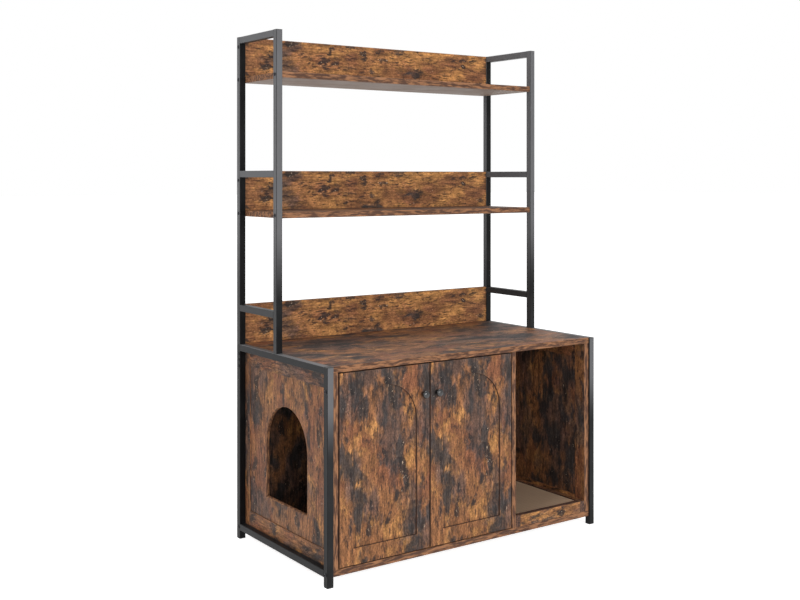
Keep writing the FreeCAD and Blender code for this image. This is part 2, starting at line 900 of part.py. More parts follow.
def left_door():
    """Left door: a board with a routed arch, cup bores and its hardware's holes."""
    x0 = doors_left + door_gap
    x1 = x0 + door_width
    door = eased(block(x0, x1, wood_front, door_back, door_low, door_high), "z")
    middle = (x0 + x1) / 2
    foot = door_low + door_margin
    size = (middle, foot, door_width - 2 * door_margin,
            door_high - door_low - 2 * door_margin, "xz")
    pocket = Part.Face(arch_wire(*size, wood_front - past))
    pocket = pocket.extrude(Vector(0, arch_depth + past, 0))
    bevel = beveled_arch(*size, wood_front, 1, arch_bevel)
    face = thin_board - pivot_depth
    bore = rod((cup_centre(), face - cup_depth - cup_play, 0), (0, 1, 0),
               cup_radius + cup_play, cup_depth + cup_play + past, cup_sides)
    return door.cut([pocket, bevel, knob_screw()] + at_hinges(bore))


def knob_axis():
    """(x, z) of the left door's knob."""
    return doors_left + door_gap + door_width - knob_inset, door_high - knob_drop


def knob():
    """Turned mushroom knob of the left door."""
    x, z = knob_axis()
    tip = wood_front - knob_length
    foot_y = wood_front - knob_foot
    outline = [(knob_face_radius, tip), (knob_cap_radius - knob_slope, tip + knob_flat),
               (knob_cap_radius, tip + knob_crown), (knob_cap_radius, tip + knob_cap - knob_under),
               (knob_neck_radius, tip + knob_cap), (knob_neck_radius, foot_y - knob_foot),
               (knob_foot_radius, foot_y), (knob_foot_radius, wood_front)]
    rings = [[Vector(x + radius * math.cos(turn), y, z + radius * math.sin(turn))
              for turn in flats(knob_sides)] for radius, y in outline]
    faces = [plane_face(rings[0]), plane_face(rings[-1])]
    for first, second in zip(rings, rings[1:]):
        faces += [plane_face([first[k - 1], first[k], second[k], second[k - 1]])
                  for k in range(knob_sides)]
    turned = Part.makeSolid(Part.makeShell(faces))
    return turned.cut(knob_screw())


def knob_screw():
    """Machine screw from inside the left door into its knob."""
    x, z = knob_axis()
    shank = thin_board + knob_length - knob_cap
    return aimed(wood_screw(shank), (x, door_back, z), (0, -1, 0))


def strike_middle():
    """z of the strike plates' middle."""
    return door_high - strike_inset - strike_height / 2


def strike_plate():
    """Steel plate on the back of the left door that the magnet holds."""
    x1 = doors_left + door_gap + door_width - strike_inset
    z1 = door_high - strike_inset
    plate = block(x1 - strike_length, x1, door_back, door_back + strike_thickness,
                  z1 - strike_height, z1)
    return eased(plate, "y", strike_inset)


def to_right_door(shape):
    """The left door's piece, mirrored to the right door."""
    return shape.mirror(Vector(meeting_x, 0, 0), Vector(1, 0, 0))


# ---------------------------------------------------------- magnetic catch

def catch_front():
    """y of the front of the catch housing."""
    return door_back + strike_thickness + catch_gap + magnet_proud


def magnet_block(sign, play=0.0):
    """The magnet for one door: a bar that stands a little out of the housing."""
    middle = meeting_x + sign * (door_gap / 2 + strike_inset + magnet_inset)
    z = strike_middle()
    y0 = catch_front() - magnet_proud
    return block(middle - magnet_length / 2 - play, middle + magnet_length / 2 + play,
                 y0, y0 + magnet_depth + play, z - magnet_height / 2 - play,
                 z + magnet_height / 2 + play)


def catch_housing():
    """Moulded housing screwed under the top panel, with a magnet for each door."""
    y0 = catch_front()
    body = block(meeting_x - catch_length / 2, meeting_x + catch_length / 2,
                 y0, y0 + catch_depth, top_under - catch_height, top_under)
    body = eased(body, "z")
    return body.cut([magnet_block(sign, magnet_play) for sign in (-1, 1)])


# ---------------------------------------------------------------- assembly

def nodes():
    """Every node by name, each a list of solids."""
    left_parts = {
        "base_frame": base_frame(),
        "hutch_frame": hutch_frame(),
        "side_rear_stile": [left_stile(False)],
        "side_top_rail": [left_rail(True)],
        "side_bottom_rail": [left_rail(False)],
    }
    parts = {}
    for name, solids in left_parts.items():
        parts["left_" + name] = solids
        parts["right_" + name] = [mirrored(solid) for solid in solids]
    parts["left_side_front_stile"] = [left_stile(True)]
    parts["right_side_front_stile"] = [mirrored(left_stile(True))]
    parts["left_side_field"] = [entrance_field()]
    parts["right_side_field"] = [mirrored(plain_field())]
    parts["foot_plugs"] = foot_plugs()
    parts["post_caps"] = post_caps()
    parts["joining_spigots"] = [spigot(), mirrored(spigot())]
    parts["post_foot_nuts"] = [foot_nut(), mirrored(foot_nut())]
    parts["top_panel"] = [top_panel()]
    parts["bottom_panel"] = [bottom_panel()]
    parts["divider"] = [divider()]
    parts["back_panel_left"] = [back_panel(doors_left, divider_left)]
    parts["back_panel_right"] = [back_panel(divider_right, side_face)]
    parts["shelf_lower"] = [shelf(0)]
    parts["shelf_upper"] = [shelf(1)]
    parts["guard_board_lower"] = [guard_board(0)]
    parts["guard_board_middle"] = [guard_board(1)]
    parts["guard_board_upper"] = [guard_board(2)]
    parts["tray_lip"] = [tray_strip_solid(tray_left, tray_right, wood_front, tray_front, "x")]
    parts["tray_back_strip"] = [tray_strip_solid(tray_left, tray_right,
                                                 tray_back - tray_strip, tray_back, "x")]
    parts["tray_side_strips"] = [tray_strip_solid(x0, x1, wood_front, tray_back, "y")
                                 for x0, x1 in ((divider_right, tray_left),
                                                (tray_right, side_face))]
    parts["scratch_pad"] = [scratch_pad()]
    parts["board_bolts"] = board_bolts()
    parts["spigot_bolts"] = spigot_bolts()
    parts["foot_bolts"] = foot_bolts()
    parts["threaded_inserts"] = threaded_inserts()
    parts["cam_locks"] = cam_locks()
    parts["cam_bolts"] = cam_bolts()
    parts["dowels"] = dowels()
    parts["tray_screws"] = tray_screws()
    parts["catch_housing"] = [catch_housing()]
    parts["catch_magnets"] = [magnet_block(sign) for sign in (-1, 1)]
    parts.update(door_nodes())
    return parts


def door_nodes():
    """Doors with their hardware; the hinge arms and plates stay on the cabinet."""
    on_door = {
        "door": [left_door()],
        "knob": [knob()],
        "knob_screw": [knob_screw()],
        "strike_plate": [strike_plate()],
        "hinge_cups": at_hinges(hinge_cup()),
        "hinge_pins": at_hinges(hinge_pin()),
    }
    on_cabinet = {
        "hinge_arms": at_hinges(hinge_arm()),
        "hinge_plates": at_hinges(hinge_plate()),
    }
    parts = {}
    for name, solids in on_door.items():
        parts["left_" + name] = solids
        parts["right_" + name] = [to_right_door(solid) for solid in solids]
    for name, solids in on_cabinet.items():
        parts[name] = solids + [to_right_door(solid) for solid in solids]
    return parts


def main():
    """Write one STEP file for each node."""
    os.makedirs("parts", exist_ok=True)
    for name, solids in nodes().items():
        shape = solids[0] if len(solids) == 1 else Part.makeCompound(solids)
        shape.exportStep("parts/" + name + ".step")
        count = sum(len(solid.Solids) for solid in solids)
        print(name, count, "solids", "valid" if shape.isValid() else "NOT VALID")


main()
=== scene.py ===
import bpy
import bmesh
import math
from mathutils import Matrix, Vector


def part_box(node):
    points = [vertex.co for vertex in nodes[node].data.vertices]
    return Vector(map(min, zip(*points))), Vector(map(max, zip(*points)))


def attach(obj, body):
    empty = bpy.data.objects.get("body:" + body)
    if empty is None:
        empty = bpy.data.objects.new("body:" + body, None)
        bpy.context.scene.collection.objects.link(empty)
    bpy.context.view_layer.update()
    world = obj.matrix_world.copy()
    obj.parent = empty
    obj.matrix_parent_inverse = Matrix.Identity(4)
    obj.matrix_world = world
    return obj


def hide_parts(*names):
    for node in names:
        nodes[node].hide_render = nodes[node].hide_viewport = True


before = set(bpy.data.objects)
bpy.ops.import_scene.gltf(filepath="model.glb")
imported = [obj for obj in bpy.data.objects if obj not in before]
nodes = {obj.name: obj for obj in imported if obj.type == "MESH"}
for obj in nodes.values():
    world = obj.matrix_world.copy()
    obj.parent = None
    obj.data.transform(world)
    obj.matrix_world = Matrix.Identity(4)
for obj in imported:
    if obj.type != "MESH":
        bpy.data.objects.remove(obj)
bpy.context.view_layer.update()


# ------------------------------------------------------------ steel frames
# Four weldments of 20 mm square steel tube: two carry the cabinet and two the
# hutch.  They are powder coated satin black, with the coat's fine orange peel.
# Light and shade are painted into the coat's colour. Painted light falls on the fronts
# and tops, and on the hutch's left faces, and grows with height. The rear posts' fronts
# get painted shadow, and the rounds get painted shade and a painted highlight.

class Graph:
    """A node tree that is written as short calls."""

    def __init__(self, tree):
        self.tree = tree

    def add(self, kind, out=0, settings=None, **inputs):
        """Adds a node, sets or links its inputs and returns one output."""
        node = self.tree.nodes.new(kind)
        for key, value in (settings or {}).items():
            setattr(node, key, value)
        for key, value in inputs.items():
            self.feed(node, key.replace("_", " "), value)
        return node.outputs[out]

    def feed(self, node, key, value):
        """Links or sets one input, by its name or its number."""
        socket = node.inputs[int(key)] if key.isdigit() else node.inputs[key]
        if isinstance(value, bpy.types.NodeSocket):
            self.tree.links.new(value, socket)
        else:
            socket.default_value = value

    def math(self, operation, first, second=0.0, clamp=False):
        """A Math node of two values."""
        node = self.tree.nodes.new("ShaderNodeMath")
        node.operation = operation
        node.use_clamp = clamp
        self.feed(node, "0", first)
        self.feed(node, "1", second)
        return node.outputs[0]

    def ramp(self, value, low, high, start=0.0, end=1.0):
        """A clamped, smoothed change from start to end as value goes from low to high."""
        node = self.tree.nodes.new("ShaderNodeMapRange")
        node.interpolation_type = "SMOOTHSTEP"
        for key, item in (("Value", value), ("From Min", low), ("From Max", high),
                          ("To Min", start), ("To Max", end)):
            self.feed(node, key, item)
        return node.outputs[0]

    def noise(self, vector, scale, detail=3.0, roughness=0.5, distortion=0.0):
        """A noise value between 0 and 1."""
        return self.add("ShaderNodeTexNoise", 0, Vector=vector, Scale=scale, Detail=detail,
                        Roughness=roughness, Distortion=distortion)

    def stretch(self, vector, scale):
        """Scales a vector along each axis."""
        node = self.tree.nodes.new("ShaderNodeVectorMath")
        node.operation = "MULTIPLY"
        self.feed(node, "0", vector)
        self.feed(node, "1", scale)
        return node.outputs[0]

    def mix(self, share, first, second, blend="MIX"):
        """Mixes two colours."""
        node = self.tree.nodes.new("ShaderNodeMix")
        node.data_type = "RGBA"
        node.blend_type = blend
        node.clamp_factor = True
        self.feed(node, "0", share)
        self.feed(node, "6", first)
        self.feed(node, "7", second)
        return node.outputs[2]


def new_material(name):
    """A material with one principled shader: returns it, its graph and the shader."""
    material = bpy.data.materials.new(name)
    material.use_nodes = True
    tree = material.node_tree
    shader = tree.nodes["Principled BSDF"]
    return material, Graph(tree), shader


def rgb(red, green, blue):
    """A colour written in screen values, 0 to 255, as the shader wants it."""
    def linear(value):
        share = value / 255
        return share / 12.92 if share <= 0.04045 else ((share + 0.055) / 1.055) ** 2.4
    return (linear(red), linear(green), linear(blue), 1.0)


def dress(material, *names):
    """Gives a material to every slot of some CAD nodes."""
    for name in names:
        for slot in nodes[name].material_slots:
            slot.material = material


# The coat's colour runs between a black in painted shade and a grey in painted light.
coat_black_in_painted_shade = rgb(10, 10, 11)
coat_grey_in_painted_light = rgb(97, 97, 99)
painted_light_below_and_above = 0.05, 0.9   # painted light on each frame below and above the two heights
painted_light_front_depths = 0.14, 0.22  # front faces painted lit up to the first depth and not past the second, so the rear posts' fronts keep a painted shadow
painted_shade_on_front_round = 3.2          # painted shade on the round between a front and a left face
painted_highlight_on_ridge = 3.0           # painted highlight on the round between a left face and an upper one
painted_light_elsewhere = 0.3            # painted light on faces turned any other way
coat_specular = 0.12


def coat_with_painted_light(name, fade_from, fade_to, side_low, side_high):
    """The coat of one kind of frame, with light and shade painted into its colour: painted
    light grows upward between two heights, on the faces turned up, to the front and to
    the left. The fronts of the posts behind get painted shadow."""
    material, graph, shader = new_material(name)
    coordinates = graph.tree.nodes.new("ShaderNodeTexCoord")
    place = coordinates.outputs["Object"]
    normal = graph.tree.nodes.new("ShaderNodeSeparateXYZ")
    graph.feed(normal, "0", coordinates.outputs["Normal"])
    point = graph.tree.nodes.new("ShaderNodeSeparateXYZ")
    graph.feed(point, "0", place)

    def facing(axis, sign):
        """How squarely a face is turned along an axis, 0 to 1."""
        return graph.ramp(graph.math("MULTIPLY", normal.outputs[axis], sign), 0.5, 0.9)

    def product(*values):
        """Several values multiplied together."""
        result = values[0]
        for value in values[1:]:
            result = graph.math("MULTIPLY", result, value)
        return result

    # facings that steer the painted light and shade below
    to_left, to_front, upward = facing(0, -1.0), facing(1, -1.0), facing(2, 1.0)
    # painted light that grows with height: high for fronts and tops, side for left faces
    high = graph.ramp(point.outputs[2], fade_from, fade_to, *painted_light_below_and_above)
    side = graph.ramp(point.outputs[2], fade_from, fade_to, side_low, side_high)
    # fronts are painted lit only near the front, so the rear posts' fronts keep a painted
    # shadow
    near = graph.ramp(point.outputs[1], *painted_light_front_depths, 1.0, 0.0)
    tone = graph.math("ADD", product(to_front, near, high), product(to_left, side))
    # painted shade on the round between a front and a left face
    corner_loss = product(to_front, to_left, painted_shade_on_front_round)
    tone = product(tone, graph.math("SUBTRACT", 1.0, corner_loss, True))
    # painted light on the faces turned up, and a painted highlight on the round above a left
    # face
    tone = graph.math("ADD", tone, product(upward, high))
    tone = graph.math("ADD", tone, product(to_left, upward, painted_highlight_on_ridge, high))
    # painted light on the faces turned any other way
    turned = graph.math("ADD", to_front, graph.math("ADD", to_left, upward))
    elsewhere = graph.math("SUBTRACT", 1.0, turned, True)
    tone = graph.math("ADD", tone, product(elsewhere, painted_light_elsewhere))
    mottle = graph.noise(place, 9.0, 4.0)
    peel = graph.noise(place, 900.0, 2.0)
    # the painted tone, mottled at random, mixes the coat between painted shade and painted
    # light
    clouded = graph.math("ADD", tone, graph.ramp(mottle, 0.3, 0.7, -0.04, 0.04), True)
    graph.feed(shader, "Base Color", graph.mix(clouded, coat_black_in_painted_shade, coat_grey_in_painted_light))
    graph.feed(shader, "Roughness", graph.ramp(mottle, 0.3, 0.7, 0.36, 0.46))
    shader.inputs["Specular IOR Level"].default_value = coat_specular
    bump = graph.add("ShaderNodeBump", 0, Height=peel, Strength=0.12, Distance=0.0004)
    graph.feed(shader, "Normal", bump)
    return material


# each frame's coat is painted lit from the first height up to the second, its left faces
# between side_low and side_high
dress(coat_with_painted_light("base_coat_with_painted_light", fade_from=0.33, fade_to=0.50,
                  side_low=0.01, side_high=0.04), "left_base_frame", "right_base_frame")
dress(coat_with_painted_light("hutch_coat_with_painted_light", fade_from=0.74, fade_to=0.98,
                  side_low=0.25, side_high=0.85), "left_hutch_frame", "right_hutch_frame")


# ----------------------------------------------------------- plugs and caps
# Moulded polyethylene plugs in the four feet, and caps of the same kind on
# the front legs and the hutch posts.  Their rims are as wide as the tube.

moulded_black, graph, shader = new_material("moulded_black_plastic")
place = graph.add("ShaderNodeTexCoord", "Object")
grain = graph.noise(place, 1400.0, 3.0, 0.6)
scuff = graph.noise(place, 60.0, 5.0, 0.7)
graph.feed(shader, "Base Color", graph.mix(scuff, rgb(24, 24, 25), rgb(44, 44, 45)))
graph.feed(shader, "Roughness", graph.ramp(scuff, 0.35, 0.7, 0.5, 0.68))
bump = graph.add("ShaderNodeBump", 0, Height=grain, Strength=0.25, Distance=0.0003)
graph.feed(shader, "Normal", bump)
dress(moulded_black, "foot_plugs", "post_caps")


# ------------------------------------------------------------------- bolts
# Low button-head bolts with a hexagon socket, black oxide, screwed through
# the tubes into the boards' inserts, the spigots and the posts' foot nuts.

bolt_head_radius = 0.0055
bolt_rim = 0.0011
bolt_dome = 0.0009
bolt_socket_radius = 0.0024
bolt_socket_depth = 0.0014
bolt_shank_radius = 0.0024
board_bolt_shank = 0.030
spigot_bolt_shank = 0.0175
foot_bolt_shank = 0.036

head_sides = 28
shank_sides = 12
dome_top_share = 0.7            # of the head's radius
dome_overlap_share = 0.5        # of the rim, where the dome is sunk into it


def one_grain(name, tones, roughness, scale, detail=3.0, fineness=0.5, metallic=1.0,
              relief=None):
    """A finish whose two tones, two roughness values and relief (strength, distance)
    all follow one noise.  The scale is one number, or one for each axis."""
    material, graph, shader = new_material(name)
    place = graph.add("ShaderNodeTexCoord", "Object")
    if isinstance(scale, tuple):
        place, scale = graph.stretch(place, scale), 1.0
    grain = graph.noise(place, scale, detail, fineness)
    shader.inputs["Metallic"].default_value = metallic
    graph.feed(shader, "Base Color", graph.mix(grain, *tones))
    graph.feed(shader, "Roughness", graph.ramp(grain, 0.3, 0.7, *roughness))
    if relief:
        strength, distance = relief
        bump = graph.add("ShaderNodeBump", 0, Height=grain, Strength=strength,
                         Distance=distance)
        graph.feed(shader, "Normal", bump)
    return material


black_oxide = one_grain("black_oxide_steel", (rgb(30, 30, 32), rgb(58, 58, 62)),
                        (0.3, 0.45), scale=500.0, relief=(0.1, 0.0002))


def shells(name):
    """The lowest and highest corner of each separate solid of a CAD node."""
    mesh = bmesh.new()
    mesh.from_mesh(nodes[name].data)
    bmesh.ops.remove_doubles(mesh, verts=mesh.verts, dist=1e-6)
    boxes = []
    seen = set()
    for start in mesh.verts:
        if start in seen:
            continue
        shell = [start]
        seen.add(start)
        for vert in shell:
            for edge in vert.link_edges:
                other = edge.other_vert(vert)
                if other not in seen:
                    seen.add(other)
                    shell.append(other)
        low = Vector([min(v.co[i] for v in shell) for i in range(3)])
        high = Vector([max(v.co[i] for v in shell) for i in range(3)])
        boxes.append((low, high))
    mesh.free()
    return boxes


def fastener_tree(name, finish, recess):
    """Geometry nodes that put a fastener at every point of a mesh, its head along
    the point's turn.  The recess is a list of (sides, width, length) cutters."""
    tree = bpy.data.node_groups.new(name, "GeometryNodeTree")
    tree.interface.new_socket("Seats", in_out="INPUT", socket_type="NodeSocketGeometry")
    for label in ("Head Radius", "Rim", "Dome", "Recess", "Depth", "Shank Radius", "Shank"):
        tree.interface.new_socket(label, in_out="INPUT", socket_type="NodeSocketFloat")
    tree.interface.new_socket("Fasteners", in_out="OUTPUT", socket_type="NodeSocketGeometry")
    graph = Graph(tree)
    given = tree.nodes.new("NodeGroupInput")
    seats, radius, rim, dome, key, depth, shank_radius, shank = given.outputs[:8]

    def at_height(shape, height):
        """Moves a shape along Z."""
        offset = graph.add("ShaderNodeCombineXYZ", 0, Z=height)
        return graph.add("GeometryNodeTransform", 0, Geometry=shape, Translation=offset)

    def cone(sides, foot, top, height):
        """A closed cone or prism that stands on the seat."""
        return graph.add("GeometryNodeMeshCone", 0, Vertices=sides, Radius_Top=top,
                         Radius_Bottom=foot, Depth=height)

    head = tree.nodes.new("GeometryNodeMeshBoolean")
    head.operation = "UNION"
    tree.links.new(cone(head_sides, radius, radius, rim), head.inputs["Mesh 2"])
    overlap = graph.math("MULTIPLY", rim, dome_overlap_share)
    dome_foot = graph.math("SUBTRACT", rim, overlap)
    dome_top = graph.math("MULTIPLY", radius, dome_top_share)
    crown = cone(head_sides, radius, dome_top, graph.math("ADD", dome, overlap))
    tree.links.new(at_height(crown, dome_foot), head.inputs["Mesh 2"])
    shape = head.outputs[0]
    bottom = graph.math("SUBTRACT", graph.math("ADD", rim, dome), depth)
    for sides, width, length in recess:
        cutter = at_height(cone(sides, key, key, graph.math("MULTIPLY", depth, 2.0)), bottom)
        size = graph.add("ShaderNodeCombineXYZ", 0, X=width, Y=length, Z=1.0)
        cutter = graph.add("GeometryNodeTransform", 0, Geometry=cutter, Scale=size)
        cut = tree.nodes.new("GeometryNodeMeshBoolean")
        cut.operation = "DIFFERENCE"
        tree.links.new(shape, cut.inputs["Mesh 1"])
        tree.links.new(cutter, cut.inputs["Mesh 2"])
        shape = cut.outputs[0]
    whole = tree.nodes.new("GeometryNodeJoinGeometry")
    tree.links.new(shape, whole.inputs[0])
    stem = cone(shank_sides, shank_radius, shank_radius, shank)
    tree.links.new(at_height(stem, graph.math("MULTIPLY", shank, -1.0)), whole.inputs[0])
    turn = tree.nodes.new("GeometryNodeInputNamedAttribute")
    turn.data_type = "FLOAT_VECTOR"
    turn.inputs["Name"].default_value = "turn"
    placed = graph.add("GeometryNodeInstanceOnPoints", 0, Points=seats,
                       Instance=whole.outputs[0], Rotation=turn.outputs[0])
    solid = graph.add("GeometryNodeRealizeInstances", 0, Geometry=placed)
    coated = graph.add("GeometryNodeSetMaterial", 0, Geometry=solid, Material=finish)
    final = tree.nodes.new("NodeGroupOutput")
    tree.links.new(coated, final.inputs[0])
    return tree


def grown(name, tree, seats, values, body):
    """Runs a tree on seats of (place, turn) and gives its result as a plain mesh."""
    mesh = bpy.data.meshes.new(name + "_seats")
    mesh.from_pydata([place for place, _ in seats], [], [])
    turns = mesh.attributes.new("turn", "FLOAT_VECTOR", "POINT")
    for item, (_, turn) in zip(turns.data, seats):
        item.vector = turn
    holder = bpy.data.objects.new(name + "_holder", mesh)
    bpy.context.scene.collection.objects.link(holder)
    modifier = holder.modifiers.new(name, "NODES")
    modifier.node_group = tree
    sockets = [item for item in tree.interface.items_tree
               if item.in_out == "INPUT" and item.socket_type == "NodeSocketFloat"]
    for socket, value in zip(sockets, values):
        modifier[socket.identifier] = value
    depsgraph = bpy.context.evaluated_depsgraph_get()
    plain = bpy.data.meshes.new_from_object(holder.evaluated_get(depsgraph))
    plain.name = name
    bpy.data.objects.remove(holder)
    piece = bpy.data.objects.new(name, plain)
    bpy.context.scene.collection.objects.link(piece)
    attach(piece, body)
    return piece


toward = {"+x": (0.0, math.pi / 2, 0.0), "-x": (0.0, -math.pi / 2, 0.0),
          "+y": (-math.pi / 2, 0.0, 0.0), "-z": (math.pi, 0.0, 0.0)}
bolt_maker = fastener_tree("frame_bolts", black_oxide, [(6, 1.0, 1.0)])
bolt_sizes = (bolt_head_radius, bolt_rim, bolt_dome, bolt_socket_radius, bolt_socket_depth,
              bolt_shank_radius)


def side_seats(name):
    """Seats of bolts on the outer faces of the side frames."""
    seats = []
    for low, high in shells(name):
        middle = (low + high) / 2
        outward = math.copysign(1.0, middle.x)
        outer = high.x if outward > 0 else low.x
        middle.x = outer - outward * (bolt_rim + bolt_dome)
        seats.append((middle, toward["+x" if outward > 0 else "-x"]))
    return seats


def foot_seats():
    """Seats of the bolts under the cabinet's top rails, which point up."""
    return [(Vector(((low.x + high.x) / 2, (low.y + high.y) / 2,
                     low.z + bolt_rim + bolt_dome)), toward["-z"])
            for low, high in shells("foot_bolts")]


for name, seats, shank in (("board_bolts", side_seats("board_bolts"), board_bolt_shank),
                           ("spigot_bolts", side_seats("spigot_bolts"), spigot_bolt_shank),
                           ("foot_bolts", foot_seats(), foot_bolt_shank)):
    piece = grown(name + "_socketed", bolt_maker, seats, bolt_sizes + (shank,),
                  "cabinet")
    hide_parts(name)


# -------------------------------------------------------- cabinet's boards
# Particle board with a rustic brown wood print: gold and reddish brown with
# charcoal patches, dark pores and small knots.  The edges carry a plainer edge
# band, and the thin back panels are bare hardboard outside.

gold = rgb(166, 117, 68)
tan = rgb(126, 84, 53)
russet = rgb(106, 63, 46)
plum = rgb(77, 62, 58)
charcoal = rgb(43, 43, 44)
knot_brown = rgb(36, 30, 29)
pore = rgb(40, 29, 26)
pale_fleck = rgb(224, 200, 172)
edge_band = rgb(140, 98, 68), rgb(74, 50, 38)
hardboard = rgb(120, 88, 62), rgb(146, 110, 80)


def along_grain(graph, place, grain, along, across):
    """Coordinates scaled by one value along the grain and another across it."""
    return graph.stretch(place, tuple(along if axis == grain else across for axis in "xyz"))


def rustic_print(name, grain, face, print_at=(0.0, 0.0, 0.0), gold_share=0.5,
                 dark_share=0.5, wave=0.012, plain=None, edges=edge_band):
    """A printed board: grain and face are axes, print_at is where the print starts,
    plain is an unprinted side as (axis number, sign, two colours)."""
    material, graph, shader = new_material(name)
    coordinates = graph.tree.nodes.new("ShaderNodeTexCoord")
    mapping = graph.add("ShaderNodeMapping", 0, Vector=coordinates.outputs["Object"],
                        Location=tuple(-v for v in print_at))
    bend = graph.add("ShaderNodeTexNoise", 1, Vector=mapping, Scale=5.0, Detail=2.0)
    drift = graph.add("ShaderNodeVectorMath", 0, {"operation": "MULTIPLY_ADD"}, **{
        "0": bend, "1": (wave, wave, wave), "2": mapping})

    def noise(along, across, detail=4.0, roughness=0.6, distortion=0.0):
        """Noise stretched along the grain: along and across are spots per metre."""
        return graph.noise(along_grain(graph, drift, grain, along, across), 1.0, detail,
                           roughness, distortion)

    def shaded(colour, value):
        """A colour made lighter or darker by a value."""
        shades = graph.add("ShaderNodeCombineXYZ", 0, X=value, Y=value, Z=value)
        return graph.mix(1.0, colour, shades, "MULTIPLY")

    # broad patches, from the golden ones to the charcoal ones and the blots
    hue = noise(8.0, 17.0, 6.0, 0.7)
    gold_from = 0.55 - 0.12 * gold_share
    colour = graph.mix(graph.ramp(hue, gold_from, gold_from + 0.13), tan, gold)
    red = noise(6.0, 10.0, 5.0, 0.62)
    colour = graph.mix(graph.ramp(red, 0.48, 0.60, 0.0, 0.8 - 0.35 * gold_share),
                       colour, russet)
    zone = noise(4.4, 8.5, 5.0, 0.6)
    plum_from = 0.52 - 0.10 * dark_share
    colour = graph.mix(graph.ramp(zone, plum_from, plum_from + 0.12, 0.0, 0.75),
                       colour, plum)
    patch = graph.math("ADD", noise(10.0, 21.0, 6.0, 0.66, 0.15), graph.math(
        "MULTIPLY", graph.math("SUBTRACT", zone, 0.5), 0.55))
    dark_from = 0.545 - 0.085 * dark_share
    colour = graph.mix(graph.ramp(patch, dark_from, dark_from + 0.12, 0.0, 0.85),
                       colour, charcoal)
    blots = noise(15.0, 27.0, 4.0, 0.55)
    colour = graph.mix(graph.ramp(blots, 0.585, 0.65, 0.0, 0.85), colour, knot_brown)

    # streaks, mottle and speckle that lighten and darken the patches
    streak = noise(16.0, 120.0, 4.0, 0.6, 0.2)
    colour = shaded(colour, graph.ramp(streak, 0.36, 0.64, 1.26, 0.66))
    mottle = noise(26.0, 70.0, 5.0, 0.7)
    colour = shaded(colour, graph.ramp(mottle, 0.34, 0.66, 0.74, 1.24))
    speckle = noise(150.0, 240.0, 3.0, 0.6)
    colour = shaded(colour, graph.ramp(speckle, 0.36, 0.64, 0.72, 1.26))
    flecks = graph.ramp(graph.math("ADD", speckle, graph.math(
        "MULTIPLY", graph.math("SUBTRACT", blots, 0.5), 0.5)), 0.72, 0.77, 0.0, 0.6)
    colour = graph.mix(flecks, colour, pale_fleck)

    # fine threads and crowded pores along the grain
    thread = graph.ramp(noise(22.0, 420.0, 3.0, 0.6), 0.3, 0.7, 0.84, 1.14)
    colour = shaded(colour, thread)
    dashes = noise(46.0, 210.0, 2.0, 0.5)
    crowd = graph.ramp(noise(9.0, 14.0, 2.0), 0.4, 0.6, 0.0, 0.06)
    pores = graph.ramp(graph.math("ADD", dashes, crowd), 0.61, 0.69)
    colour = graph.mix(graph.math("MULTIPLY", pores, 0.8), colour, pore)

    # small knots in about half of the cells
    knots = graph.tree.nodes.new("ShaderNodeTexVoronoi")
    graph.feed(knots, "Vector", along_grain(graph, drift, grain, 4.5, 9.0))
    graph.feed(knots, "Scale", 1.0)
    chosen = graph.tree.nodes.new("ShaderNodeSeparateColor")
    graph.feed(chosen, "0", knots.outputs["Color"])
    present = graph.ramp(chosen.outputs[0], 0.5, 0.52)
    spread = graph.math("ADD", knots.outputs["Distance"],
                        graph.math("MULTIPLY", graph.math("SUBTRACT", streak, 0.5), 0.10))
    core = graph.math("MULTIPLY", graph.ramp(spread, 0.045, 0.085, 0.85, 0.0), present)
    colour = graph.mix(core, colour, knot_brown)

    # the edge band, and a side that carries no print
    normal = graph.tree.nodes.new("ShaderNodeSeparateXYZ")
    graph.feed(normal, "0", coordinates.outputs["Normal"])
    facing = graph.math("ABSOLUTE", normal.outputs["xyz".index(face)])
    band = graph.mix(graph.ramp(noise(26.0, 150.0), 0.40, 0.58), *edges)
    band = shaded(band, thread)
    colour = graph.mix(graph.ramp(facing, 0.75, 0.85, 1.0, 0.0), colour, band)
    if plain:
        axis, sign, tones = plain
        bare = graph.ramp(graph.math("MULTIPLY", normal.outputs[axis], sign), 0.45, 0.55)
        colour = graph.mix(bare, colour, graph.mix(thread, *tones))
    graph.feed(shader, "Base Color", colour)
    graph.feed(shader, "Roughness", graph.ramp(patch, 0.4, 0.65, 0.54, 0.66))
    height = graph.math("SUBTRACT", graph.math("MULTIPLY", thread, 0.5), pores)
    bump = graph.add("ShaderNodeBump", 0, Height=height, Strength=0.2, Distance=0.0004)
    graph.feed(shader, "Normal", bump)
    shader.inputs["Specular IOR Level"].default_value = 0.2
    return material


dress(rustic_print("cabinet_top_print", "x", "z", (0.3, 0.7, 0.1), gold_share=0.4,
                   dark_share=0.7, wave=0.03), "top_panel")
dress(rustic_print("cabinet_floor_print", "x", "z", (1.1, 0.2, 0.4)), "bottom_panel")
dress(rustic_print("divider_print", "z", "x", (0.2, 0.9, 0.3), gold_share=0.1,
                   dark_share=1.0), "divider")
dress(rustic_print("back_print", "z", "y", (0.8, 0.4, 0.9), gold_share=0.3,
                   dark_share=0.6, plain=(1, 1.0, hardboard)),
      "back_panel_left", "back_panel_right")


# -------------------------------------------------------------- side panels
# Each side of the cabinet is two upright stiles and two rails round a thinner
# field.  The rails' grain runs level, the rest upright.

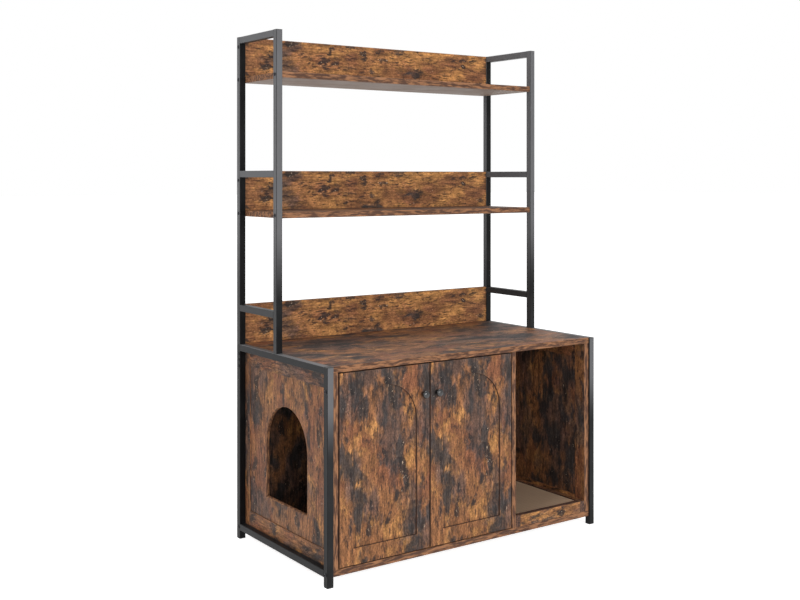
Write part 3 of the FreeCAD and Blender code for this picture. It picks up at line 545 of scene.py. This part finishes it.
side_field = rustic_print("side_field_print", "z", "x", (0.06, -0.18, 0.06))
front_stile = rustic_print("front_stile_print", "z", "x", (0.7, 0.52, 0.31))
rear_stile = rustic_print("rear_stile_print", "z", "x", (0.2, 0.83, 0.64))
level = rustic_print("side_rail_print", "y", "x", (0.4, 0.3, 0.2))
for side in ("left", "right"):
    dress(side_field, side + "_side_field")
    dress(front_stile, side + "_side_front_stile")
    dress(rear_stile, side + "_side_rear_stile")
    dress(level, side + "_side_top_rail", side + "_side_bottom_rail")


# -------------------------------------------------------------------- doors
# Two inset doors of particle board with a routed arch.  Both carry the same
# print, which starts at the same place on each door, and a dark edge band.
# This band is partly a darker film and partly painted shade on the walls of the routed arch.

door_print_shift = (0.91, 0.0, 1.87)
# dark edge band: partly the film's own darker brown, partly painted shade in the routed arch
door_edge_band_and_groove_shade = rgb(62, 40, 30), rgb(34, 23, 19)


def from_corner(name, shift):
    """A print's start that is the same on each of several like boards."""
    return tuple(float(v) - back for v, back in zip(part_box(name)[0], shift))


for side in ("left", "right"):
    name = side + "_door"
    dress(rustic_print(name + "_print", "z", "y", from_corner(name, door_print_shift),
                       dark_share=0.7, edges=door_edge_band_and_groove_shade), name)


# -------------------------------------------------------------------- knobs
# Cast zinc mushroom knobs, enamelled glossy black, each on a screw from
# inside the door.

knob_segments = 48
knob_profile = [            # share of the radius, share of the length from the tip
    (0.0, 0.0), (0.26, 0.010), (0.50, 0.04), (0.71, 0.095), (0.87, 0.17), (0.96, 0.26),
    (1.0, 0.36), (0.97, 0.46), (0.89, 0.55), (0.77, 0.62), (0.66, 0.67), (0.58, 0.73),
    (0.55, 0.81), (0.57, 0.90), (0.60, 0.95), (0.60, 1.0)]

enamel_coat = 0.3
enamel_coat_roughness = 0.16

black_enamel = one_grain("glossy_black_enamel", (rgb(8, 8, 9), rgb(18, 18, 19)),
                         (0.26, 0.34), scale=260.0, metallic=0.0,
                         relief=(0.05, 0.0002))
shader = black_enamel.node_tree.nodes["Principled BSDF"]
shader.inputs["Coat Weight"].default_value = enamel_coat
shader.inputs["Coat Roughness"].default_value = enamel_coat_roughness


def turned_knob(side):
    """A smooth turned knob in place of the plain CAD one."""
    low, high = (Vector(v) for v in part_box(side + "_knob"))
    centre = (low + high) / 2
    radius = (high.x - low.x) / 2
    length = high.y - low.y
    mesh = bmesh.new()
    rings = []
    for share, along in knob_profile:
        y = low.y + along * length
        if share == 0.0:
            rings.append([mesh.verts.new((centre.x, y, centre.z))])
            continue
        ring = []
        for k in range(knob_segments):
            turn = 2 * math.pi * k / knob_segments
            ring.append(mesh.verts.new((centre.x + share * radius * math.cos(turn), y,
                                        centre.z + share * radius * math.sin(turn))))
        rings.append(ring)
    for first, second in zip(rings, rings[1:]):
        for k in range(knob_segments):
            after = (k + 1) % knob_segments
            if len(first) == 1:
                mesh.faces.new((first[0], second[k], second[after]))
            else:
                mesh.faces.new((first[k], first[after], second[after], second[k]))
    mesh.faces.new(rings[-1])
    bmesh.ops.recalc_face_normals(mesh, faces=mesh.faces)
    data = bpy.data.meshes.new(side + "_knob_turned")
    mesh.to_mesh(data)
    mesh.free()
    for face in data.polygons:
        face.use_smooth = len(face.vertices) < 5
    data.materials.append(black_enamel)
    piece = bpy.data.objects.new(side + "_knob_turned", data)
    bpy.context.scene.collection.objects.link(piece)
    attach(piece, "door_" + side)
    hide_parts(side + "_knob")


turned_knob("left")
turned_knob("right")


# ------------------------------------------------- hinges, screws and catch
# Concealed cup hinges, strike plates and screws are nickel-plated steel.  The
# catch under the top panel is moulded plastic and holds two ferrite magnets.

brushed_along_z = (900.0, 900.0, 60.0)
nickel = one_grain("nickel_plated_steel", (rgb(178, 176, 170), rgb(214, 212, 206)),
                   (0.22, 0.36), brushed_along_z, relief=(0.08, 0.0002))
dress(nickel, "hinge_arms", "hinge_plates", "joining_spigots", "post_foot_nuts",
      "tray_screws", "cam_bolts")
for side in ("left", "right"):
    dress(nickel, side + "_hinge_cups", side + "_hinge_pins", side + "_strike_plate",
          side + "_knob_screw")

screw_head_radius = 0.0038
screw_rim = 0.0008
screw_dome = 0.0012
screw_slot = 0.0026
screw_slot_depth = 0.0010
screw_shank_radius = 0.0018
screw_shank = 0.0007
cup_rim_to_screw = 0.0277
cup_screw_spread = 0.0225
wing_thickness = 0.0016
wing_screw_spread = 0.0160
strike_end_to_screw = 0.0060
catch_screw_spread = 0.0060
middle_plane = 0.0              # x that parts the cabinet's left fittings from the others

screw_maker = fastener_tree("pan_head_screws", nickel, [(4, 0.24, 1.0), (4, 1.0, 0.24)])
screw_sizes = (screw_head_radius, screw_rim, screw_dome, screw_slot, screw_slot_depth,
               screw_shank_radius, screw_shank)


def door_screw_seats(side):
    """Seats of the screws of one door's hinge cups and strike plate."""
    seats = []
    hinge_side, sign = (0, 1.0) if side == "left" else (1, -1.0)
    for cup in shells(side + "_hinge_cups"):
        x = cup[hinge_side].x + sign * cup_rim_to_screw
        height = (cup[0].z + cup[1].z) / 2
        for offset in (-cup_screw_spread, cup_screw_spread):
            seats.append((Vector((x, cup[1].y, height + offset)), toward["+y"]))
    strike = [Vector(v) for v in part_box(side + "_strike_plate")]
    x = strike[hinge_side].x + sign * strike_end_to_screw
    seats.append((Vector((x, strike[1].y, (strike[0].z + strike[1].z) / 2)), toward["+y"]))
    return seats


def cabinet_screw_seats():
    """Seats of the screws of the mounting plates' wings and of the catch."""
    seats = []
    for low, high in shells("hinge_plates"):
        left = low.x < middle_plane
        x = low.x + wing_thickness if left else high.x - wing_thickness
        for offset in (-wing_screw_spread, wing_screw_spread):
            seats.append((Vector((x, (low.y + high.y) / 2, (low.z + high.z) / 2 + offset)),
                          toward["+x" if left else "-x"]))
    low, high = (Vector(v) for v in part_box("catch_housing"))
    for offset in (-catch_screw_spread, catch_screw_spread):
        seats.append((Vector(((low.x + high.x) / 2 + offset, (low.y + high.y) / 2, low.z)),
                      toward["-z"]))
    return seats


for name, seats, body in (("left_door_screws", door_screw_seats("left"), "door_left"),
                          ("right_door_screws", door_screw_seats("right"), "door_right"),
                          ("cabinet_screws", cabinet_screw_seats(), "cabinet")):
    grown(name, screw_maker, seats, screw_sizes, body)

dress(one_grain("sintered_ferrite", (rgb(48, 48, 50), rgb(74, 74, 76)), (0.45, 0.7),
                scale=700.0, detail=4.0, fineness=0.6, metallic=0.0,
                relief=(0.2, 0.0002)), "catch_magnets")
dress(moulded_black, "catch_housing")


# --------------------------------------------------------- inserts and cams
# Threaded bushes turned from brass, and cams die-cast in zinc alloy.  A thin
# brown plastic cover is pressed on each cam, so that it hardly shows.

turned_round_x = (2400.0, 80.0, 80.0)
dress(one_grain("turned_brass", (rgb(172, 140, 74), rgb(206, 176, 104)), (0.25, 0.4),
                turned_round_x, detail=2.0), "threaded_inserts")
dress(one_grain("die_cast_zinc", (rgb(150, 150, 150), rgb(186, 186, 184)), (0.4, 0.58),
                scale=420.0, detail=4.0, fineness=0.6, relief=(0.15, 0.0002)),
      "cam_locks")

cover_radius = 0.0085
cover_rim = 0.0003
cover_dome = 0.0004
cover_dimple = 0.0006
cover_dimple_depth = 0.0002
cover_stub_radius = 0.0030
cover_stub = 0.0002

brown_plastic = one_grain("brown_moulded_plastic", (rgb(88, 58, 40), rgb(116, 78, 52)),
                          (0.5, 0.65), scale=600.0, fineness=0.6, metallic=0.0,
                          relief=(0.15, 0.0002))


def cover_seats():
    """Seats of the covers on the open ends of the cams."""
    seats = []
    for low, high in shells("cam_locks"):
        middle = (low + high) / 2
        left = middle.x < middle_plane
        middle.x = high.x if left else low.x
        seats.append((middle, toward["+x" if left else "-x"]))
    return seats


grown("cam_covers", fastener_tree("cam_covers", brown_plastic, [(8, 1.0, 1.0)]), cover_seats(),
      (cover_radius, cover_rim, cover_dome, cover_dimple, cover_dimple_depth,
       cover_stub_radius, cover_stub), "cabinet")


# ------------------------------------------------------------------- dowels
# Plain beech dowels that line up the boards where they meet.  They lie in
# holes inside the boards, so that none of them shows.

fibres_along_x = (500.0, 60.0, 60.0)
dress(one_grain("beech", (rgb(188, 146, 106), rgb(214, 178, 140)), (0.55, 0.7),
                fibres_along_x, detail=4.0, fineness=0.6, metallic=0.0), "dowels")


# -------------------------------------------------- shelves and guard boards
# The hutch's two shelves and three upright guard boards are printed along their
# length, the guard boards all alike.  The shelves' undersides are plain paper.

backing_paper = rgb(96, 80, 70), rgb(126, 106, 92)
guard_print_shift = (0.8, 0.3, 0.5)

for name, start in (("shelf_lower", (0.35, 0.1, 0.6)), ("shelf_upper", (0.9, 0.6, 0.2))):
    dress(rustic_print(name + "_print", "x", "z", start,
                       plain=(2, -1.0, backing_paper)), name)
for name in ("guard_board_lower", "guard_board_middle", "guard_board_upper"):
    dress(rustic_print(name + "_print", "x", "y", from_corner(name, guard_print_shift),
                       gold_share=1.0, dark_share=-0.3), name)


# --------------------------------------------------------- tray and its pad
# A low frame of board strips screwed to the floor of the open bay, its lip
# between the side strips, holds a scratching pad.  The pad is sheets of
# corrugated cardboard on edge, and lifts out to be replaced.

strip_ease = 0.0007
strip_edges = rgb(96, 68, 54), rgb(56, 40, 34)


def strip_boards(name, boxes, material, replaced):
    """Boards with eased edges, one for each pair of corners."""
    mesh = bmesh.new()
    for low, high in boxes:
        size, middle = high - low, (low + high) / 2
        made = bmesh.ops.create_cube(mesh, size=1.0)["verts"]
        bmesh.ops.scale(mesh, vec=size, verts=made)
        bmesh.ops.translate(mesh, vec=middle, verts=made)
    bmesh.ops.bevel(mesh, geom=mesh.edges[:], offset=strip_ease, segments=1,
                    affect="EDGES")
    bmesh.ops.recalc_face_normals(mesh, faces=mesh.faces)
    data = bpy.data.meshes.new(name)
    mesh.to_mesh(data)
    mesh.free()
    data.materials.append(material)
    piece = bpy.data.objects.new(name, data)
    bpy.context.scene.collection.objects.link(piece)
    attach(piece, "cabinet")
    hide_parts(replaced)


lip_low, lip_high = (Vector(v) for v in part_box("tray_lip"))
strips = sorted(shells("tray_side_strips"), key=lambda box: box[0].x)
for low, high in strips:
    low.y = lip_low.y
lip_low.x, lip_high.x = strips[0][1].x, strips[1][0].x
strip_boards("tray_lip_board", [(lip_low, lip_high)],
             rustic_print("tray_lip_print", "x", "y", (0.15, 0.4, 0.7), gold_share=1.0,
                          dark_share=0.1, edges=strip_edges), "tray_lip")
strip_boards("tray_side_boards", strips,
             rustic_print("tray_strip_print", "y", "z", (0.5, 0.1, 0.3), gold_share=0.2,
                          dark_share=0.7, edges=strip_edges), "tray_side_strips")
dress(rustic_print("tray_back_print", "x", "y", (0.6, 0.3, 0.1), gold_share=0.2,
                   dark_share=0.7), "tray_back_strip")

sheet_pitch = 0.0052
sheet_share = 0.97              # sheet's own share of the pitch
crest_share = 0.84              # of a sheet's thickness, along its eased top
sheet_ease = 0.0004

cardboard, graph, shader = new_material("corrugated_cardboard_on_edge")
place = graph.add("ShaderNodeTexCoord", "Object")
cloud = graph.noise(place, 14.0, 4.0, 0.6)
flutes = graph.tree.nodes.new("ShaderNodeTexWave")
flutes.bands_direction = "Y"
graph.feed(flutes, "Vector", place)
graph.feed(flutes, "Scale", 24.0)
graph.feed(flutes, "Distortion", 2.0)
graph.feed(flutes, "Detail Scale", 30.0)
fibre = graph.noise(graph.stretch(place, (700.0, 220.0, 120.0)), 1.0, 3.0)
colour = graph.mix(cloud, rgb(204, 172, 142), rgb(224, 194, 164))
colour = graph.mix(graph.math("MULTIPLY", flutes.outputs[1], 0.3), colour, rgb(168, 138, 110))
colour = graph.mix(graph.math("MULTIPLY", fibre, 0.3), colour, rgb(232, 206, 178))
graph.feed(shader, "Base Color", colour)
shader.inputs["Roughness"].default_value = 0.85
height = graph.math("ADD", flutes.outputs[1], fibre)
bump = graph.add("ShaderNodeBump", 0, Height=height, Strength=0.25, Distance=0.0006)
graph.feed(shader, "Normal", bump)


def sheet_tree():
    """Geometry nodes that stand one sheet of board on edge at every point."""
    tree = bpy.data.node_groups.new("pad_sheets", "GeometryNodeTree")
    tree.interface.new_socket("Seats", in_out="INPUT", socket_type="NodeSocketGeometry")
    for label in ("Thickness", "Length", "Height", "Ease"):
        tree.interface.new_socket(label, in_out="INPUT", socket_type="NodeSocketFloat")
    tree.interface.new_socket("Sheets", in_out="OUTPUT", socket_type="NodeSocketGeometry")
    graph = Graph(tree)
    given = tree.nodes.new("NodeGroupInput")
    seats, thickness, length, height, ease = given.outputs[:5]
    body = graph.add("GeometryNodeMeshCube", 0, Size=graph.add(
        "ShaderNodeCombineXYZ", 0, X=thickness, Y=length,
        Z=graph.math("SUBTRACT", height, ease)))
    crest = graph.add("GeometryNodeMeshCube", 0, Size=graph.add(
        "ShaderNodeCombineXYZ", 0, X=graph.math("MULTIPLY", thickness, crest_share),
        Y=graph.math("SUBTRACT", length, ease), Z=height))
    both = tree.nodes.new("GeometryNodeMeshBoolean")
    both.operation = "UNION"
    for part, rise in ((body, graph.math("MULTIPLY", ease, -0.5)), (crest, 0.0)):
        offset = graph.add("ShaderNodeCombineXYZ", 0, Z=rise)
        lifted = graph.add("GeometryNodeTransform", 0, Geometry=part, Translation=offset)
        tree.links.new(lifted, both.inputs["Mesh 2"])
    placed = graph.add("GeometryNodeInstanceOnPoints", 0, Points=seats,
                       Instance=both.outputs[0])
    solid = graph.add("GeometryNodeRealizeInstances", 0, Geometry=placed)
    coated = graph.add("GeometryNodeSetMaterial", 0, Geometry=solid, Material=cardboard)
    final = tree.nodes.new("NodeGroupOutput")
    tree.links.new(coated, final.inputs[0])
    return tree


low, high = (Vector(v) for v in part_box("scratch_pad"))
count = int((high.x - low.x) / sheet_pitch)
pitch = (high.x - low.x) / count
middle = (low + high) / 2
unturned = (0.0, 0.0, 0.0)
sheets = [(Vector((low.x + (k + 0.5) * pitch, middle.y, middle.z)), unturned)
          for k in range(count)]
piece = grown("pad_sheets", sheet_tree(), sheets,
              (pitch * sheet_share, high.y - low.y, high.z - low.z, sheet_ease),
              "pad")
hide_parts("scratch_pad")


# -------------------------------------------------- floor, lights and camera
# A plain pale floor in a white room, a sun from the front, soft lamps from the
# front, the left and above, and the camera 1.11 m above the floor.

floor_half = 60.0
floor_glow = 0.78
room_level = 0.45
sun_height = 17.0               # degrees over the horizon, from the front
sun_spread = 5.0
sun_strength = 1.35
floor_mesh = bpy.data.meshes.new("floor")
floor_mesh.from_pydata([(-floor_half, -floor_half, 0), (floor_half, -floor_half, 0),
                        (floor_half, floor_half, 0), (-floor_half, floor_half, 0)],
                       [], [(0, 1, 2, 3)])
floor = bpy.data.objects.new("floor", floor_mesh)
bpy.context.scene.collection.objects.link(floor)


def seen_directly(graph):
    """1 for rays from the camera, off a gloss or through glass, otherwise 0."""
    path = graph.tree.nodes.new("ShaderNodeLightPath")
    seen = path.outputs["Is Camera Ray"]
    for kind in ("Is Glossy Ray", "Is Transmission Ray"):
        seen = graph.math("MAXIMUM", seen, path.outputs[kind])
    return seen


floor_paint, graph, shader = new_material("pale_floor")
shader.inputs["Base Color"].default_value = (0.8, 0.8, 0.8, 1.0)
shader.inputs["Roughness"].default_value = 0.9
shader.inputs["Specular IOR Level"].default_value = 0.1
glow = graph.add("ShaderNodeEmission", 0, Color=(1.0, 1.0, 1.0, 1.0),
                 Strength=graph.math("MULTIPLY", seen_directly(graph), floor_glow))
both = graph.tree.nodes.new("ShaderNodeAddShader")
graph.tree.links.new(shader.outputs[0], both.inputs[0])
graph.tree.links.new(glow, both.inputs[1])
graph.tree.links.new(both.outputs[0], graph.tree.nodes["Material Output"].inputs[0])
floor_mesh.materials.append(floor_paint)

world = bpy.data.worlds.new("soft_room")
bpy.context.scene.world = world
world.use_nodes = True
graph = Graph(world.node_tree)
strength = graph.math("ADD", room_level, graph.math(
    "MULTIPLY", seen_directly(graph), 1.0 - room_level))
background = graph.tree.nodes["Background"]
background.inputs["Color"].default_value = (1.0, 1.0, 1.0, 1.0)
graph.feed(background, "Strength", strength)


def soft_lamp(name, place, aim, size, power):
    """A square area lamp at a place, aimed at a point."""
    data = bpy.data.lights.new(name, "AREA")
    data.size = size
    data.energy = power
    lamp = bpy.data.objects.new(name, data)
    lamp.location = place
    lamp.rotation_euler = (Vector(aim) - Vector(place)).to_track_quat("-Z", "Y").to_euler()
    bpy.context.scene.collection.objects.link(lamp)


sun_data = bpy.data.lights.new("front_light", "SUN")
sun_data.energy = sun_strength
sun_data.angle = math.radians(sun_spread)
sun = bpy.data.objects.new("front_light", sun_data)
sun.rotation_euler = (math.radians(90.0 - sun_height), 0.0, 0.0)
bpy.context.scene.collection.objects.link(sun)
soft_lamp("near_light", (-2.2, -4.4, 1.5), (0.0, 0.0, 0.6), size=2.0, power=80.0)
soft_lamp("left_light", (-4.2, -0.6, 2.0), (0.0, 0.0, 0.7), size=2.4, power=60.0)
soft_lamp("top_light", (0.0, 0.2, 4.2), (0.0, 0.0, 0.6), size=2.2, power=90.0)

camera_data = bpy.data.cameras.new("camera")
camera_data.sensor_width = 36.0
camera_data.lens = 50.43
camera_data.shift_y = -0.1534
camera = bpy.data.objects.new("camera", camera_data)
camera.location = (-2.07673, -2.84114, 1.1102)
camera.rotation_euler = (math.radians(90.0), 0.0, math.radians(-35.115))
bpy.context.scene.collection.objects.link(camera)
bpy.context.scene.camera = camera
bpy.context.scene.view_settings.view_transform = "Standard"
